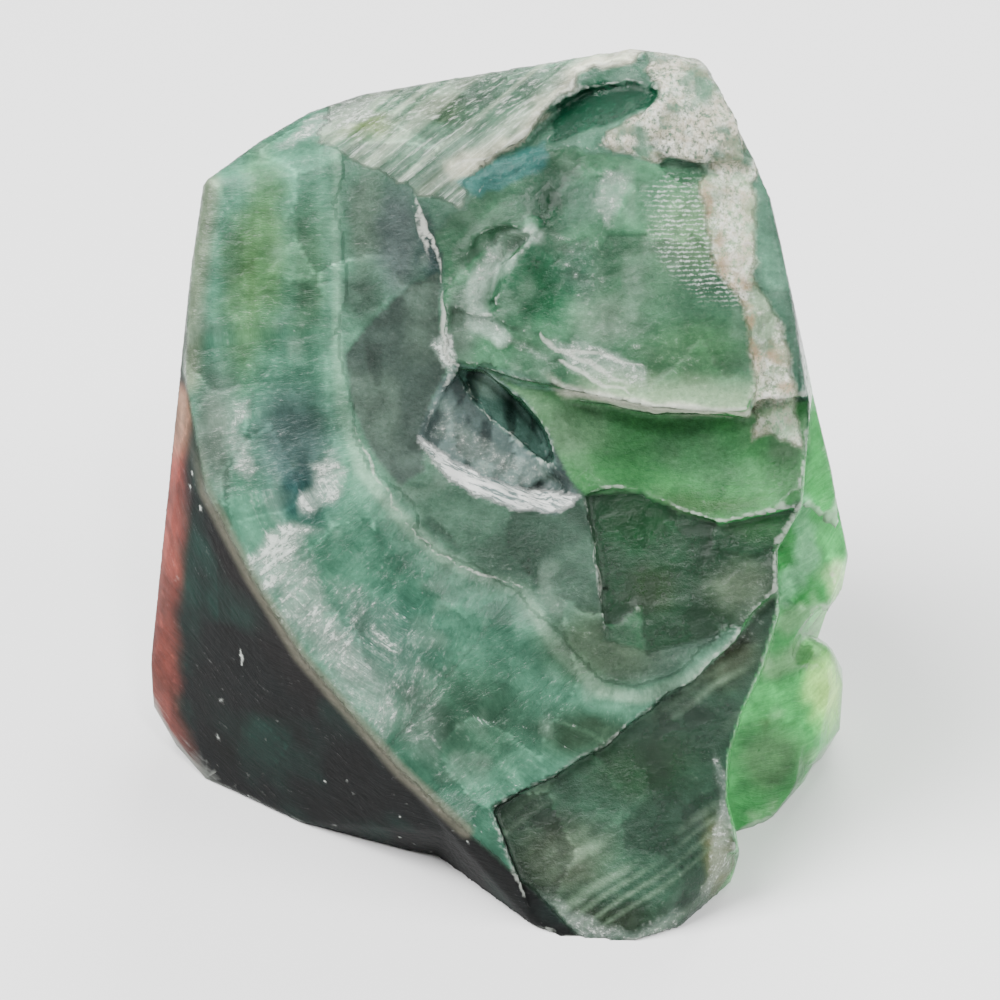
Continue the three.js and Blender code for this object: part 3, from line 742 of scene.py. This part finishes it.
# The pale satin wall of the crescent.
satin = blend(turn(flakes, 0.42, 0.56), (0.16, 0.22, 0.21), (0.93, 0.95, 0.91))
clear = blend(read("crescent"), clear, satin)

# Silky streaks on the slab, and the fine rows on the right of the boss.
silk = sums("MULTIPLY", turn(flakes, 0.50, 0.68), read("silk"))
clear = blend(sums("MULTIPLY", silk, 0.5), clear, (0.66, 0.70, 0.64))
height = node("ShaderNodeSeparateXYZ")
links.new(place, height.inputs[0])
ripple = sums("SINE", sums("MULTIPLY_ADD", height.outputs["Z"], 10000, sums("MULTIPLY", flakes, 9.0)))
row = sums("MULTIPLY", turn(sums("MULTIPLY_ADD", fine, 5.0, ripple), 2.6, 4.2), read("rows"))
clear = blend(sums("MULTIPLY", row, 0.6), clear, (0.70, 0.76, 0.72))

# Cream crust, with brown in its worn pits.
crusted = sums("MULTIPLY", read("crust"), turn(sums("MULTIPLY_ADD", fine, 0.4, flakes), 0.50, 0.84))
cream = blend(turn(fine, 0.35, 0.65), (0.66, 0.60, 0.46), (0.92, 0.90, 0.82))
clear = blend(sums("MULTIPLY", crusted, 0.9), clear, cream)
stained = sums("MULTIPLY", read("stain"), turn(sums("ADD", fine, flakes), 0.76, 0.98))
clear = blend(sums("MULTIPLY", stained, 0.8), clear, (0.33, 0.22, 0.12))

# Polish: clear parts shine, frosted and crusted parts are rough.
dull = sums("MAXIMUM", sums("MAXIMUM", white, crusted), read("dull"))
gloss = turn(dull, 0.0, 1.0, 0.12, 0.65)
bump = nodes.new("ShaderNodeBump")
bump.inputs["Strength"].default_value = 0.8
bump.inputs["Distance"].default_value = 0.0006
links.new(sums("MULTIPLY_ADD", white, 0.5, sums("MULTIPLY", flakes, 0.6)), bump.inputs["Height"])

surface = nodes.new("ShaderNodeBsdfPrincipled")
surface.inputs["IOR"].default_value = 1.43
surface.inputs["Transmission Weight"].default_value = 0.25
surface.inputs["Specular IOR Level"].default_value = 0.12
links.new(clear, surface.inputs["Base Color"])
links.new(gloss, surface.inputs["Roughness"])
links.new(bump.outputs["Normal"], surface.inputs["Normal"])
body = nodes.new("ShaderNodeVolumeAbsorption")
body.inputs["Color"].default_value = (0.35, 0.72, 0.52, 1)
body.inputs["Density"].default_value = 140
output = nodes.new("ShaderNodeOutputMaterial")
links.new(surface.outputs["BSDF"], output.inputs["Surface"])
links.new(body.outputs["Volume"], output.inputs["Volume"])
stone.data.materials.clear()
stone.data.materials.append(crystal)

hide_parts("fluorite")
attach(stone, "root")

# The floor
# A plain pale floor.
bpy.ops.mesh.primitive_plane_add(size=6, location=(0, 0, 0))
floor = bpy.context.object
floor.name = "floor"
paper = bpy.data.materials.new("paper")
paper.use_nodes = True
paper.node_tree.nodes["Principled BSDF"].inputs["Base Color"].default_value = (0.82, 0.82, 0.82, 1)
paper.node_tree.nodes["Principled BSDF"].inputs["Roughness"].default_value = 0.9
floor.data.materials.append(paper)

# The light
# A bright pale room, with a large soft lamp high on the left and a weaker one on the right.
room = bpy.data.worlds.new("room")
room.use_nodes = True
room.node_tree.nodes["Background"].inputs["Color"].default_value = (1, 1, 1, 1)
room.node_tree.nodes["Background"].inputs["Strength"].default_value = 0.30
bpy.context.scene.world = room
for name, stand, size, power in (
    ("key", (-0.55, -0.15, 0.95), 0.7, 30),
    ("fill", (0.8, -0.25, 0.6), 0.6, 10),
    ("back", (0.25, 0.8, 0.7), 0.6, 14),
    ("glint", (0.12, -0.62, 0.72), 0.08, 3),
):
    lamp = bpy.data.lights.new(name, "AREA")
    lamp.size = size
    lamp.energy = power
    holder = bpy.data.objects.new(name, lamp)
    holder.location = stand
    holder.rotation_euler = (Vector((0, 0, 0.05)) - Vector(stand)).to_track_quat("-Z", "Y").to_euler()
    bpy.context.scene.collection.objects.link(holder)

# The camera
# It looks square at the leaning face.
eye = bpy.data.cameras.new("eye")
SENSOR = 36
eye.sensor_width = SENSOR
eye.lens = SENSOR * SIGHT / (1000 * UNIT)
viewer = bpy.data.objects.new("eye", eye)
viewer.location = MIDDLE + SIGHT * Vector((0, -math.cos(LEAN), math.sin(LEAN)))
viewer.rotation_euler = (math.pi / 2 - LEAN, 0, 0)
bpy.context.scene.collection.objects.link(viewer)
bpy.context.scene.camera = viewer
